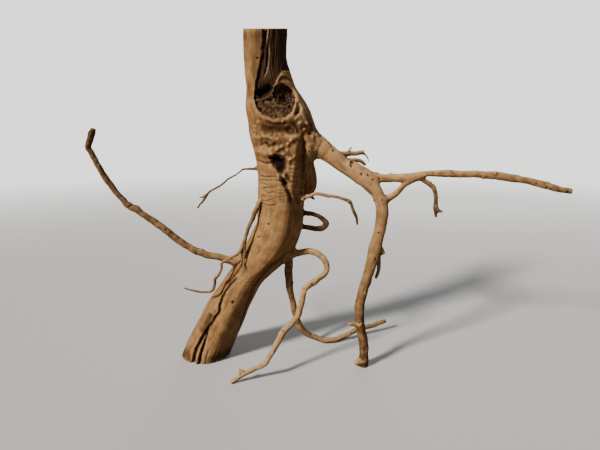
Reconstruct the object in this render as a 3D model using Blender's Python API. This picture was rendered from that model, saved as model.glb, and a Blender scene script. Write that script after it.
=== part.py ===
"""A dry, bark-free tree root that stands up on its sawn base and its own thin roots.

The wood grew as one piece, so it is one closed solid. The trunk and every limb are tapered
tubes along smooth routes, joined to each other. The trunk's front has a hollow knot, and its
foot is sawn flat on the floor, where the arching root and two thin roots touch down as well.
Metres: +X to the right, +Y away from the front, +Z up, and the floor is the plane z = 0.
"""

import math

import bmesh
import bpy
from mathutils import Matrix, Vector

ROOT_NAME = "dry_root"
SAW_CUT_SIZE = 1.2
SAW_CUT_DEPTH = 0.1
TOP_CENTRE = (-0.084, 0.001, 0.597)
TOP_TILT_DEG = 13.0
KNOT_CENTRE = (-0.068, -0.053, 0.484)
KNOT_RADII = (0.032, 0.024, 0.026)
BARE_FACE_CENTRE = (-0.065, -0.050, 0.560)
BARE_FACE_RADII = (0.023, 0.026, 0.070)
STEP_IN_RADII = 1.9
SHORTEST_STEP = 0.006
WELD_DISTANCE = 0.00002

# Each stop is x, y, z and the wood's radius there. The first stop of a limb lies inside the
# wood that it grows from.
TRUNK = [
    (-0.224, 0.010, -0.039, 0.0430),
    (-0.209, 0.010, 0.000, 0.0425),
    (-0.182, 0.010, 0.057, 0.0398),
    (-0.167, 0.010, 0.088, 0.0380),
    (-0.148, 0.010, 0.122, 0.0338),
    (-0.126, 0.010, 0.158, 0.0315),
    (-0.102, 0.010, 0.189, 0.0360),
    (-0.079, 0.010, 0.220, 0.0425),
    (-0.067, 0.010, 0.256, 0.0450),
    (-0.061, 0.010, 0.294, 0.0432),
    (-0.059, 0.008, 0.321, 0.0430),
    (-0.057, 0.006, 0.354, 0.0450),
    (-0.057, 0.004, 0.376, 0.0465),
    (-0.062, 0.003, 0.402, 0.0468),
    (-0.067, 0.002, 0.428, 0.0475),
    (-0.072, 0.002, 0.449, 0.0455),
    (-0.078, 0.002, 0.469, 0.0420),
    (-0.080, 0.002, 0.486, 0.0390),
    (-0.081, 0.001, 0.503, 0.0370),
    (-0.084, 0.001, 0.523, 0.0362),
    (-0.085, 0.001, 0.543, 0.0361),
    (-0.085, 0.001, 0.570, 0.0367),
    (-0.084, 0.001, 0.599, 0.0373),
    (-0.084, 0.001, 0.630, 0.0373),
]
SHOULDER = [
    (-0.071, 0.000, 0.552, 0.0110),
    (-0.064, 0.000, 0.530, 0.0160),
    (-0.057, 0.000, 0.512, 0.0172),
    (-0.054, -0.001, 0.493, 0.0235),
    (-0.046, -0.002, 0.460, 0.0350),
    (-0.040, -0.002, 0.428, 0.0420),
    (-0.040, 0.000, 0.393, 0.0390),
    (-0.049, 0.003, 0.350, 0.0330),
]
ARCHING_ROOT = [
    (-0.043, 0.002, 0.408, 0.033),
    (-0.024, 0.000, 0.404, 0.0305),
    (-0.006, -0.004, 0.400, 0.0260),
    (0.008, -0.007, 0.397, 0.0203),
    (0.024, -0.011, 0.388, 0.0158),
    (0.042, -0.015, 0.375, 0.0140),
    (0.061, -0.020, 0.361, 0.0126),
    (0.079, -0.026, 0.349, 0.0130),
    (0.096, -0.032, 0.337, 0.0119),
    (0.109, -0.038, 0.319, 0.0106),
    (0.116, -0.043, 0.297, 0.0103),
    (0.115, -0.047, 0.270, 0.0103),
    (0.103, -0.052, 0.215, 0.0095),
    (0.091, -0.052, 0.171, 0.0089),
    (0.082, -0.049, 0.126, 0.0084),
    (0.083, -0.044, 0.088, 0.0085),
    (0.092, -0.040, 0.042, 0.0080),
    (0.093, -0.039, -0.006, 0.0080),
]
RIGHT_BRANCH = [
    (0.065, -0.022, 0.362, 0.0110),
    (0.100, -0.026, 0.350, 0.0075),
    (0.130, -0.033, 0.345, 0.0062),
    (0.165, -0.044, 0.350, 0.0057),
    (0.193, -0.053, 0.356, 0.0056),
    (0.231, -0.066, 0.356, 0.0060),
    (0.281, -0.082, 0.355, 0.0060),
    (0.324, -0.096, 0.350, 0.0058),
    (0.358, -0.107, 0.341, 0.0055),
    (0.379, -0.114, 0.335, 0.0048),
    (0.395, -0.118, 0.333, 0.0042),
]
PROP_ROOT = [
    (0.107, -0.039, 0.300, 0.0090),
    (0.125, -0.041, 0.311, 0.0065),
    (0.141, -0.042, 0.322, 0.0050),
    (0.154, -0.043, 0.336, 0.0042),
    (0.179, -0.048, 0.352, 0.0036),
]
HANGING_TWIG = [
    (0.166, -0.044, 0.351, 0.0036),
    (0.185, -0.049, 0.343, 0.0042),
    (0.200, -0.054, 0.333, 0.0042),
    (0.205, -0.056, 0.320, 0.0041),
    (0.204, -0.057, 0.303, 0.0038),
    (0.206, -0.057, 0.282, 0.0021),
]
HANGING_TWIG_FORK = [
    (0.204, -0.057, 0.301, 0.0034),
    (0.209, -0.057, 0.294, 0.0033),
    (0.216, -0.058, 0.292, 0.0024),
]
LEFT_ROOT = [
    (-0.109, 0.008, 0.184, 0.0110),
    (-0.137, 0.005, 0.189, 0.0086),
    (-0.174, 0.000, 0.196, 0.0067),
    (-0.204, -0.002, 0.205, 0.0066),
    (-0.236, -0.006, 0.223, 0.0066),
    (-0.270, -0.010, 0.253, 0.0062),
    (-0.303, -0.013, 0.277, 0.0058),
    (-0.333, -0.016, 0.300, 0.0054),
    (-0.361, -0.019, 0.337, 0.0053),
    (-0.374, -0.021, 0.363, 0.0052),
    (-0.385, -0.022, 0.388, 0.0053),
    (-0.390, -0.023, 0.398, 0.0054),
    (-0.386, -0.024, 0.411, 0.0052),
    (-0.378, -0.025, 0.430, 0.0050),
]
UPPER_LEFT_ROOTLET = [
    (-0.087, 0.004, 0.364, 0.0040),
    (-0.114, 0.000, 0.360, 0.0022),
    (-0.127, -0.003, 0.359, 0.0021),
    (-0.138, -0.005, 0.351, 0.0020),
    (-0.152, -0.008, 0.343, 0.0020),
    (-0.167, -0.011, 0.331, 0.0020),
    (-0.186, -0.013, 0.319, 0.0020),
    (-0.196, -0.015, 0.307, 0.0023),
    (-0.202, -0.016, 0.300, 0.0018),
    (-0.208, -0.017, 0.291, 0.0015),
]
CLINGING_ROOTLET = [
    (-0.092, -0.012, 0.312, 0.0045),
    (-0.098, -0.018, 0.299, 0.0038),
    (-0.107, -0.021, 0.280, 0.0036),
    (-0.118, -0.022, 0.253, 0.0033),
    (-0.127, -0.022, 0.228, 0.0032),
    (-0.133, -0.022, 0.216, 0.0032),
    (-0.144, -0.022, 0.205, 0.0029),
    (-0.158, -0.022, 0.197, 0.0028),
    (-0.168, -0.022, 0.190, 0.0034),
    (-0.168, -0.022, 0.180, 0.0025),
    (-0.173, -0.023, 0.171, 0.0025),
    (-0.180, -0.024, 0.164, 0.0027),
    (-0.182, -0.024, 0.152, 0.0023),
    (-0.185, -0.025, 0.142, 0.0026),
    (-0.194, -0.026, 0.138, 0.0020),
    (-0.214, -0.027, 0.140, 0.0020),
    (-0.225, -0.028, 0.143, 0.0018),
    (-0.236, -0.028, 0.147, 0.0015),
]
RIGHT_TWIG = [
    (-0.038, -0.001, 0.305, 0.0050),
    (-0.025, -0.012, 0.309, 0.0037),
    (-0.011, -0.014, 0.312, 0.0030),
    (0.000, -0.014, 0.316, 0.0028),
    (0.020, -0.016, 0.315, 0.0027),
    (0.039, -0.018, 0.313, 0.0027),
    (0.053, -0.021, 0.309, 0.0028),
    (0.060, -0.022, 0.306, 0.0035),
    (0.064, -0.023, 0.302, 0.0026),
    (0.067, -0.024, 0.293, 0.0025),
    (0.073, -0.025, 0.278, 0.0027),
    (0.077, -0.026, 0.263, 0.0018),
]
BACK_LOOP = [
    (-0.042, 0.012, 0.280, 0.0050),
    (-0.001, 0.015, 0.275, 0.0040),
    (0.015, 0.017, 0.268, 0.0045),
    (0.024, 0.019, 0.257, 0.0056),
    (0.015, 0.022, 0.247, 0.0055),
    (-0.006, 0.024, 0.248, 0.0049),
    (-0.041, 0.027, 0.254, 0.0050),
]
BACK_LOBE = [
    (-0.031, 0.010, 0.385, 0.0240),
    (-0.016, 0.018, 0.356, 0.0200),
    (-0.009, 0.023, 0.333, 0.0160),
    (-0.010, 0.026, 0.313, 0.0095),
]
FRONT_ROOT = [
    (-0.057, 0.008, 0.196, 0.0100),
    (-0.025, 0.010, 0.203, 0.0064),
    (0.003, 0.006, 0.204, 0.0058),
    (0.022, -0.001, 0.189, 0.0057),
    (0.023, -0.008, 0.171, 0.0056),
    (0.004, -0.016, 0.157, 0.0056),
    (-0.016, -0.025, 0.144, 0.0055),
    (-0.023, -0.038, 0.118, 0.0054),
    (-0.029, -0.047, 0.100, 0.0053),
    (-0.051, -0.060, 0.079, 0.0051),
    (-0.061, -0.067, 0.067, 0.0051),
    (-0.080, -0.083, 0.038, 0.0049),
    (-0.091, -0.089, 0.028, 0.0048),
    (-0.120, -0.095, 0.015, 0.0047),
    (-0.144, -0.101, 0.002, 0.0040),
]
BACK_ROOT = [
    (-0.059, 0.012, 0.212, 0.0120),
    (-0.046, 0.024, 0.181, 0.0085),
    (-0.047, 0.031, 0.153, 0.0083),
    (-0.041, 0.039, 0.106, 0.0066),
    (-0.033, 0.045, 0.066, 0.0062),
    (-0.021, 0.050, 0.034, 0.0060),
    (0.008, 0.055, 0.012, 0.0058),
    (0.043, 0.059, 0.005, 0.0056),
    (0.071, 0.072, 0.010, 0.0053),
    (0.098, 0.088, 0.017, 0.0052),
    (0.135, 0.106, 0.018, 0.0049),
    (0.162, 0.118, 0.023, 0.0044),
]
SHOULDER_STUB = [
    (0.033, -0.010, 0.382, 0.0090),
    (0.060, -0.004, 0.387, 0.0046),
    (0.074, -0.002, 0.388, 0.0044),
    (0.089, 0.000, 0.390, 0.0040),
]
SHOULDER_SPUR = [
    (0.049, -0.012, 0.372, 0.0070),
    (0.071, -0.006, 0.376, 0.0040),
    (0.083, -0.004, 0.374, 0.0036),
    (0.092, -0.003, 0.367, 0.0027),
]
SHIN_STUB = [
    (0.083, -0.044, 0.083, 0.0042),
    (0.062, -0.047, 0.086, 0.0030),
]
KNEE_STUB = [
    (0.110, -0.050, 0.222, 0.0050),
    (0.114, -0.042, 0.189, 0.0035),
    (0.110, -0.040, 0.169, 0.0027),
]
FOOT_NUB = [
    (0.093, -0.039, 0.014, 0.0070),
    (0.076, -0.044, 0.007, 0.0048),
]
TRUNK_SIDES = 28
LIMB_SIDES = 12
ROOT_SIDES = 10
TWIG_SIDES = 8
LIMBS = {
    "shoulder": (TRUNK_SIDES, SHOULDER),
    "arching_root": (LIMB_SIDES, ARCHING_ROOT),
    "right_branch": (ROOT_SIDES, RIGHT_BRANCH),
    "prop_root": (TWIG_SIDES, PROP_ROOT),
    "hanging_twig": (TWIG_SIDES, HANGING_TWIG),
    "hanging_twig_fork": (TWIG_SIDES, HANGING_TWIG_FORK),
    "left_root": (ROOT_SIDES, LEFT_ROOT),
    "upper_left_rootlet": (TWIG_SIDES, UPPER_LEFT_ROOTLET),
    "clinging_rootlet": (TWIG_SIDES, CLINGING_ROOTLET),
    "right_twig": (TWIG_SIDES, RIGHT_TWIG),
    "back_loop": (ROOT_SIDES, BACK_LOOP),
    "back_lobe": (LIMB_SIDES, BACK_LOBE),
    "front_root": (ROOT_SIDES, FRONT_ROOT),
    "back_root": (ROOT_SIDES, BACK_ROOT),
    "shoulder_stub": (TWIG_SIDES, SHOULDER_STUB),
    "shoulder_spur": (TWIG_SIDES, SHOULDER_SPUR),
    "shin_stub": (TWIG_SIDES, SHIN_STUB),
    "knee_stub": (TWIG_SIDES, KNEE_STUB),
    "foot_nub": (TWIG_SIDES, FOOT_NUB),
}


def clear_scene():
    for ob in list(bpy.data.objects):
        bpy.data.objects.remove(ob, do_unlink=True)


def new_collection(name):
    made = bpy.data.collections.new(name)
    bpy.context.scene.collection.children.link(made)
    return made


def between(before, start, end, after, t):
    """The point at share t of the smooth span from start to end (Catmull-Rom)."""
    pull_start = (end - before) / 2
    pull_end = (after - start) / 2
    return (
        (2 * t**3 - 3 * t**2 + 1) * start
        + (t**3 - 2 * t**2 + t) * pull_start
        + (3 * t**2 - 2 * t**3) * end
        + (t**3 - t**2) * pull_end
    )


def smooth_route(stops):
    """Points along the smooth curve through the stops, closer together where it is thinner."""
    stops = [Vector(stop) for stop in stops]
    padded = [2 * stops[0] - stops[1], *stops, 2 * stops[-1] - stops[-2]]
    route = []
    for i in range(1, len(padded) - 2):
        before, start, end, after = padded[i - 1 : i + 3]
        length = (end.xyz - start.xyz).length
        step = max(STEP_IN_RADII * (start.w + end.w) / 2, SHORTEST_STEP)
        count = max(1, round(length / step))
        route += [between(before, start, end, after, k / count) for k in range(count)]
    return [*route, stops[-1]]


def tapered_tube(name, sides, stops, collection):
    """A closed mesh tube along a route, with flat ends, made from a bevelled curve."""
    curve = bpy.data.curves.new(name, "CURVE")
    curve.dimensions = "3D"
    curve.twist_mode = "MINIMUM"
    curve.bevel_depth = 1.0
    curve.bevel_resolution = sides // 2 - 2
    curve.use_fill_caps = True
    route = smooth_route(stops)
    spline = curve.splines.new("POLY")
    spline.points.add(len(route) - 1)
    for point, stop in zip(spline.points, route):
        point.co = (*stop.xyz, 1.0)
        point.radius = stop.w
    guide = bpy.data.objects.new(name + "_guide", curve)
    collection.objects.link(guide)
    evaluated = guide.evaluated_get(bpy.context.evaluated_depsgraph_get())
    mesh = bpy.data.meshes.new_from_object(evaluated)
    bpy.data.objects.remove(guide, do_unlink=True)
    weld(mesh)
    mesh.name = name
    tube = bpy.data.objects.new(name, mesh)
    collection.objects.link(tube)
    return tube


def weld(mesh):
    bm = bmesh.new()
    bm.from_mesh(mesh)
    bmesh.ops.remove_doubles(bm, verts=bm.verts, dist=WELD_DISTANCE)
    bmesh.ops.recalc_face_normals(bm, faces=bm.faces)
    bm.to_mesh(mesh)
    bm.free()


def as_guide(ob):
    """A shape that only joins or cuts the wood isn't a part of its own."""
    ob.hide_render = True
    ob.display_type = "WIRE"
    return ob


def scoop(name, centre, radii, collection):
    """An egg-shaped cutter for a hollow in the wood's face."""
    bm = bmesh.new()
    bmesh.ops.create_uvsphere(bm, u_segments=16, v_segments=10, radius=1.0)
    bmesh.ops.transform(bm, matrix=Matrix.Diagonal((*radii, 1.0)), verts=bm.verts)
    mesh = bpy.data.meshes.new(name)
    bm.to_mesh(mesh)
    bm.free()
    cutter = bpy.data.objects.new(name, mesh)
    cutter.location = centre
    collection.objects.link(cutter)
    return as_guide(cutter)


def saw_cutter(name, cut_centre, tilt, side, collection):
    """A slab that takes away all the wood above (side 1) or below (side -1) a flat saw cut."""
    bm = bmesh.new()
    bmesh.ops.create_cube(bm, size=1.0)
    size = (SAW_CUT_SIZE, SAW_CUT_SIZE, SAW_CUT_DEPTH, 1.0)
    bmesh.ops.transform(bm, matrix=Matrix.Diagonal(size), verts=bm.verts)
    lift = Matrix.Translation((0.0, 0.0, side * SAW_CUT_DEPTH / 2))
    bmesh.ops.transform(bm, matrix=lift, verts=bm.verts)
    mesh = bpy.data.meshes.new(name)
    bm.to_mesh(mesh)
    bm.free()
    cutter = bpy.data.objects.new(name, mesh)
    cutter.location = cut_centre
    cutter.rotation_euler.x = tilt
    collection.objects.link(cutter)
    return as_guide(cutter)


def combine(ob, other, operation):
    boolean = ob.modifiers.new(operation.lower() + "_" + other.name, "BOOLEAN")
    boolean.operation = operation
    boolean.object = other
    boolean.solver = "EXACT"


def dry_wood():
    material = bpy.data.materials.new("dry_wood")
    material.use_nodes = True
    shader = material.node_tree.nodes["Principled BSDF"]
    shader.inputs["Base Color"].default_value = (0.42, 0.23, 0.11, 1.0)
    shader.inputs["Roughness"].default_value = 0.72
    shader.inputs["Metallic"].default_value = 0.0
    return material


clear_scene()
parts = new_collection(ROOT_NAME)
guides = new_collection("guides")

root = tapered_tube(ROOT_NAME, TRUNK_SIDES, TRUNK, parts)
root.data.materials.append(dry_wood())
for limb_name, (limb_sides, limb_stops) in LIMBS.items():
    limb = as_guide(tapered_tube(limb_name, limb_sides, limb_stops, guides))
    combine(root, limb, "UNION")
knot = scoop("knot_hollow", KNOT_CENTRE, KNOT_RADII, guides)
bare_face = scoop("bare_face", BARE_FACE_CENTRE, BARE_FACE_RADII, guides)
top_saw = saw_cutter("top_saw", TOP_CENTRE, math.radians(TOP_TILT_DEG), 1, guides)
floor_saw = saw_cutter("floor_saw", (0.0, 0.0, 0.0), 0.0, -1, guides)
for cutter in (knot, bare_face, top_saw, floor_saw):
    combine(root, cutter, "DIFFERENCE")
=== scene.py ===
"""A dry, bark-free tree root that stands up on its sawn base and its own thin roots.

The wood grew as one piece. Each limb is swept along its own heart line, the limbs are fused
into one skin that flares where one limb leaves another, and the skin is then weathered.
Metres: +X to the right, +Y away from the front, +Z up, and the floor is the plane z = 0.
"""

import math
from types import SimpleNamespace

import bmesh
import bpy
import numpy as np
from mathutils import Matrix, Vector, noise


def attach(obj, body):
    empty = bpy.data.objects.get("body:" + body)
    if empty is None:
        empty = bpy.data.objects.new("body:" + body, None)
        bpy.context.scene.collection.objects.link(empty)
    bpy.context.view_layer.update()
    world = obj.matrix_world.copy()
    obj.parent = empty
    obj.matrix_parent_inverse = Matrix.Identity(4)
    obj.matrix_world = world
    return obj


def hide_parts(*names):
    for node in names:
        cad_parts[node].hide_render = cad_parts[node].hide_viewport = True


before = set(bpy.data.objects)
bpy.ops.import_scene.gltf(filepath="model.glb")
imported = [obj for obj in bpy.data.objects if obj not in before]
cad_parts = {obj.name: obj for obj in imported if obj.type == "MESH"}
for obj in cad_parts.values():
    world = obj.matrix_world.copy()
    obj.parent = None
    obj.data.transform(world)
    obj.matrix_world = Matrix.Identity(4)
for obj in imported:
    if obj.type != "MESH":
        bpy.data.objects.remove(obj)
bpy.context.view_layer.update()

# ---- Camera ------------------------------------------------------------------------------
# It stands straight in front of the root, a little above its middle, and looks slightly down.
camera_data = bpy.data.cameras.new("camera")
camera_data.lens = 27.06
camera = bpy.data.objects.new("camera", camera_data)
camera.location = (-0.025, -0.812, 0.410)
camera.rotation_euler.x = math.radians(79.4)
bpy.context.scene.collection.objects.link(camera)
bpy.context.scene.camera = camera

# ---- Trunk -------------------------------------------------------------------------------
# The trunk leans from its sawn foot to a swollen shoulder and ends in a second saw cut. It is
# solid wood. Each stop along its heart line is x, y, z and the wood's radius there.
TRUNK = [
    (-0.224, 0.010, -0.039, 0.0430),
    (-0.209, 0.010, 0.000, 0.0425),
    (-0.182, 0.010, 0.057, 0.0398),
    (-0.167, 0.010, 0.088, 0.0380),
    (-0.148, 0.010, 0.122, 0.0338),
    (-0.126, 0.010, 0.158, 0.0315),
    (-0.102, 0.010, 0.189, 0.0360),
    (-0.079, 0.010, 0.220, 0.0425),
    (-0.067, 0.010, 0.256, 0.0450),
    (-0.061, 0.010, 0.294, 0.0432),
    (-0.059, 0.008, 0.321, 0.0430),
    (-0.057, 0.006, 0.354, 0.0450),
    (-0.057, 0.004, 0.376, 0.0465),
    (-0.062, 0.003, 0.402, 0.0468),
    (-0.067, 0.002, 0.428, 0.0475),
    (-0.072, 0.002, 0.449, 0.0455),
    (-0.078, 0.002, 0.469, 0.0420),
    (-0.080, 0.002, 0.486, 0.0390),
    (-0.081, 0.001, 0.503, 0.0370),
    (-0.084, 0.001, 0.523, 0.0362),
    (-0.085, 0.001, 0.543, 0.0361),
    (-0.085, 0.001, 0.570, 0.0367),
    (-0.084, 0.001, 0.599, 0.0373),
    (-0.084, 0.001, 0.630, 0.0373),
]
TOP_CUT = Vector((-0.084, 0.001, 0.597))
TOP_UP = Vector((0.0, -math.sin(math.radians(13.0)), math.cos(math.radians(13.0))))
PATH_STEP = 0.0015
SPOKES = 48
limbs = {}


def smooth_line(stops, step):
    """Places along the smooth curve through the stops, about a step apart."""
    stops = np.array(stops)
    padded = np.vstack([2 * stops[0] - stops[1], stops, 2 * stops[-1] - stops[-2]])
    line = []
    for before, start, end, after in zip(padded, padded[1:], padded[2:], padded[3:]):
        count = max(2, round(np.linalg.norm((end - start)[:3]) / step))
        t = (np.arange(count) / count)[:, None]
        line.append(
            (2 * t**3 - 3 * t**2 + 1) * start
            + (t**3 - 2 * t**2 + t) * (end - before) / 2
            + (3 * t**2 - 2 * t**3) * end
            + (t**3 - t**2) * (after - start) / 2
        )
    return np.vstack([*line, stops[-1:]])


def new_sweep_tree():
    """The nodes that sweep a round section, as wide as the curve's radius, along a heart line."""
    tree = bpy.data.node_groups.new("limb_sweep", "GeometryNodeTree")
    for name, kind in (("Geometry", "Geometry"), ("Step", "Float"), ("Sides", "Int"),
                       ("Wood", "Material")):
        tree.interface.new_socket(name, in_out="INPUT", socket_type="NodeSocket" + kind)
    tree.interface.new_socket("Geometry", in_out="OUTPUT", socket_type="NodeSocketGeometry")
    taken = tree.nodes.new("NodeGroupInput")
    spaced = tree.nodes.new("GeometryNodeResampleCurve")
    spaced.mode = "LENGTH"
    ring = tree.nodes.new("GeometryNodeCurvePrimitiveCircle")
    ring.inputs["Radius"].default_value = 1.0
    width = tree.nodes.new("GeometryNodeInputRadius")
    swept = tree.nodes.new("GeometryNodeCurveToMesh")
    swept.inputs["Fill Caps"].default_value = True
    wood = tree.nodes.new("GeometryNodeSetMaterial")
    whole = tree.nodes.new("GeometryNodeRealizeInstances")
    given = tree.nodes.new("NodeGroupOutput")
    for start, end in (
        (taken.outputs["Geometry"], spaced.inputs["Curve"]),
        (taken.outputs["Step"], spaced.inputs["Length"]),
        (taken.outputs["Sides"], ring.inputs["Resolution"]),
        (spaced.outputs["Curve"], swept.inputs["Curve"]),
        (ring.outputs["Curve"], swept.inputs["Profile Curve"]),
        (width.outputs["Radius"], swept.inputs["Scale"]),
        (swept.outputs["Mesh"], wood.inputs["Geometry"]),
        (taken.outputs["Wood"], wood.inputs["Material"]),
        (wood.outputs["Geometry"], whole.inputs["Geometry"]),
        (whole.outputs["Geometry"], given.inputs["Geometry"]),
    ):
        tree.links.new(start, end)
    return tree


def plain_mesh(ob):
    """The object's finished shape as a mesh of its own. The object itself is thrown away."""
    made = ob.evaluated_get(bpy.context.evaluated_depsgraph_get())
    mesh = bpy.data.meshes.new_from_object(made)
    bpy.data.objects.remove(ob, do_unlink=True)
    return mesh


def saw(bm, place, outward):
    """Cuts flat through a limb, drops what lies outward and closes the sawn face."""
    cut = bmesh.ops.bisect_plane(
        bm, geom=[*bm.verts, *bm.edges, *bm.faces], plane_co=place, plane_no=outward,
        clear_outer=True,
    )
    rim = [part for part in cut["geom_cut"] if isinstance(part, bmesh.types.BMEdge)]
    if rim:
        bmesh.ops.edgenet_fill(bm, edges=rim)


def grow(name, stops, flare, wander=0.14, knots=0.06, scars=0.22, twist=9.0, old_and_shaded=(0.0, 0.0),
         pale_and_lit=(0.0, 0.0), section=None):
    """Makes a limb: its swept mesh, and the path and skin that later steps measure from.

    flare is how wide it melts into the wood it grows from. wander, knots and scars are how crooked,
    lumpy and set with the scars of lost twigs it is, in radii. twist is how its grain turns, in
    radians a metre. The darkening and paling pairs tell the wood's colour at its two ends: mostly
    old dark wood and pale wood, but painted shadow on the back loop and the arching root's foot, and
    painted light on the arching root's top and the twig's knob."""
    line = smooth_line(stops, PATH_STEP)
    run = np.r_[0, np.cumsum(np.linalg.norm(np.diff(line[:, :3], axis=0), axis=1))]
    along = np.linspace(0, run[-1], max(3, round(run[-1] / PATH_STEP) + 1))
    line = np.column_stack([np.interp(along, run, line[:, i]) for i in range(4)])
    path, radius = line[:, :3], line[:, 3]
    mark = 7.31 * (len(limbs) + 1)
    sway = np.array([
        noise.noise_vector((s / 0.024, mark, 0.5)) + 0.4 * noise.noise_vector((s / 0.009, mark, 2))
        for s in along
    ])
    free = np.clip(np.minimum(along, along[-1] - along) / 0.012, 0, 1)
    path = path + sway * (wander * np.minimum(radius + 0.002, 0.008) * free)[:, None]
    lumps = np.array([noise.noise((s / 0.031, mark, 3.5)) + 0.1 * noise.noise((s / 0.009, mark, 6))
                      for s in along])
    radius = radius * (1 + 1.5 * knots * lumps * free)
    heading = np.gradient(path, axis=0)
    heading /= np.linalg.norm(heading, axis=1)[:, None]
    fronts = []
    front = np.array((0.0, -1.0, 0.0))
    for way in heading:
        front = front - way * (front @ way)
        front = front / np.linalg.norm(front)
        fronts.append(front)
    fronts = np.array(fronts)
    angles = np.arange(SPOKES) * 2 * math.pi / SPOKES
    bulge = np.array([
        [noise.noise((1.6 * math.cos(a), 1.6 * math.sin(a), s / (5 * r) + mark)) for a in angles]
        for s, r in zip(along, radius)
    ])
    skin = radius[:, None] * (1 + 1.3 * knots * bulge)
    chance = np.random.default_rng(len(limbs))
    for start in np.arange(0.02, along[-1] - 0.01, 0.030):
        place = start + chance.uniform(0, 0.030)
        width = radius.mean() * chance.uniform(0.3, 0.7)
        turned = (angles - chance.uniform(0, 2 * math.pi) + math.pi) % (2 * math.pi) - math.pi
        scar = np.exp(-(((along - place) / width) ** 2))[:, None] * np.exp(-((turned / 0.5) ** 2))
        skin = skin * (1 + scars * chance.uniform(0.3, 1.0) * scar)
    if section:
        skin = skin * section(path[:, 2:3], np.degrees(angles)[None, :])
    limbs[name] = SimpleNamespace(
        path=path, along=along, heading=heading, front=fronts,
        side=np.cross(heading, fronts), skin=skin, radius=radius, flare=flare, mark=mark,
        twist=twist, old_and_shaded=old_and_shaded, pale_and_lit=pale_and_lit,
    )
    curve = bpy.data.curves.new(name, "CURVE")
    curve.dimensions = "3D"
    spline = curve.splines.new("POLY")
    spline.points.add(len(path) - 1)
    spline.points.foreach_set("co", np.column_stack([path, np.ones(len(path))]).ravel())
    spline.points.foreach_set("radius", radius)
    heart = bpy.data.objects.new(name, curve)
    bpy.context.scene.collection.objects.link(heart)
    sweep = heart.modifiers.new("sweep", "NODES")
    sweep.node_group = sweep_tree
    inputs = {item.name: item.identifier for item in sweep_tree.interface.items_tree
              if item.in_out == "INPUT"}
    sweep[inputs["Step"]] = float(np.clip(radius.mean() / 3, 0.0015, 0.006))
    sweep[inputs["Sides"]] = int(np.clip(radius.mean() * 2500, 12, 48))
    sweep[inputs["Wood"]] = dry_wood
    bm = bmesh.new()
    bm.from_mesh(plain_mesh(heart))
    bmesh.ops.remove_doubles(bm, verts=bm.verts, dist=0.00001)
    bmesh.ops.recalc_face_normals(bm, faces=bm.faces)
    saw(bm, (0, 0, 0), (0, 0, -1))
    saw(bm, TOP_CUT, TOP_UP)
    bmesh.ops.triangulate(bm, faces=bm.faces)
    limbs[name].mesh = bpy.data.meshes.new(name)
    bm.to_mesh(limbs[name].mesh)
    bm.free()


def trunk_section(height, angle):
    """The trunk isn't round: right of a ridge down its front, its side is cut away."""
    turned = (angle + 180) % 360 - 180
    waist = np.clip((height - 0.15) / 0.05, 0, 1) * np.clip((0.42 - height) / 0.05, 0, 1)
    low = np.clip((0.20 - height) / 0.05, 0, 1)
    ridge = 0.035 * np.exp(-(((turned - 17) / 15) ** 2))
    side = 0.15 * np.exp(-(((turned - 57) / 25) ** 2))
    flat = 0.07 * np.exp(-(((turned + 25) / 22) ** 2))
    slab = 0.06 * np.exp(-(((turned - 8) / 16) ** 2)) - 0.07 * np.exp(-(((turned - 52) / 24) ** 2))
    back = 0.05 * np.cos(np.radians(3 * angle)) * (np.abs(turned) > 90)
    gap = 0.18 * np.exp(-(((turned + 90) / 38) ** 2)) * np.exp(-(((height - 0.253) / 0.022) ** 2))
    return 1 + waist * (ridge - side - 0.4 * flat) + low * slab + back - gap


dry_wood = bpy.data.materials.new("dry_wood")
sweep_tree = new_sweep_tree()
grow("trunk", TRUNK, 0.016, wander=0.0, knots=0.018, scars=0.0, twist=0.8, section=trunk_section)

# ---- Shoulder ----------------------------------------------------------------------------
# The trunk's right side swells under the old knot and carries the arching root. A lobe of the
# same wood hangs down behind it.
grow("shoulder", [
    (-0.071, 0.000, 0.552, 0.0110),
    (-0.064, 0.000, 0.530, 0.0160),
    (-0.057, 0.000, 0.512, 0.0172),
    (-0.054, -0.001, 0.493, 0.0235),
    (-0.046, -0.002, 0.460, 0.0350),
    (-0.040, -0.002, 0.428, 0.0420),
    (-0.040, 0.000, 0.393, 0.0390),
    (-0.049, 0.003, 0.350, 0.0330),
], 0.014, wander=0.0, knots=0.05, scars=0.0, twist=0.8)
grow("back_lobe", [
    (-0.031, 0.010, 0.385, 0.0240),
    (-0.016, 0.018, 0.356, 0.0200),
    (-0.009, 0.023, 0.333, 0.0160),
    (-0.010, 0.026, 0.313, 0.0095),
], 0.010, wander=0.0, knots=0.08, scars=0.0)

# ---- Arching root ------------------------------------------------------------------------
# It springs from the shoulder, bends over a knee and stands on the floor. Short broken twigs
# are left on it, and a thin twig props up the right branch.
# The arching root is painted paler near the shoulder and darker towards its foot: painted light on
# its lit top and painted shade at its foot.
grow("arching_root", [
    (-0.043, 0.002, 0.408, 0.033),
    (-0.024, 0.000, 0.404, 0.0305),
    (-0.006, -0.004, 0.400, 0.0260),
    (0.008, -0.007, 0.397, 0.0203),
    (0.024, -0.011, 0.388, 0.0158),
    (0.042, -0.015, 0.375, 0.0140),
    (0.061, -0.020, 0.361, 0.0126),
    (0.079, -0.026, 0.349, 0.0130),
    (0.096, -0.032, 0.337, 0.0119),
    (0.109, -0.038, 0.319, 0.0106),
    (0.116, -0.043, 0.297, 0.0103),
    (0.115, -0.047, 0.270, 0.0103),
    (0.103, -0.052, 0.215, 0.0095),
    (0.091, -0.052, 0.171, 0.0089),
    (0.082, -0.049, 0.126, 0.0084),
    (0.083, -0.044, 0.088, 0.0085),
    (0.092, -0.040, 0.042, 0.0080),
    (0.093, -0.039, -0.006, 0.0080),
], 0.016, wander=0.16, knots=0.08, scars=0.28, pale_and_lit=(0.7, 0.1), old_and_shaded=(0.0, 1.0))
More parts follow.
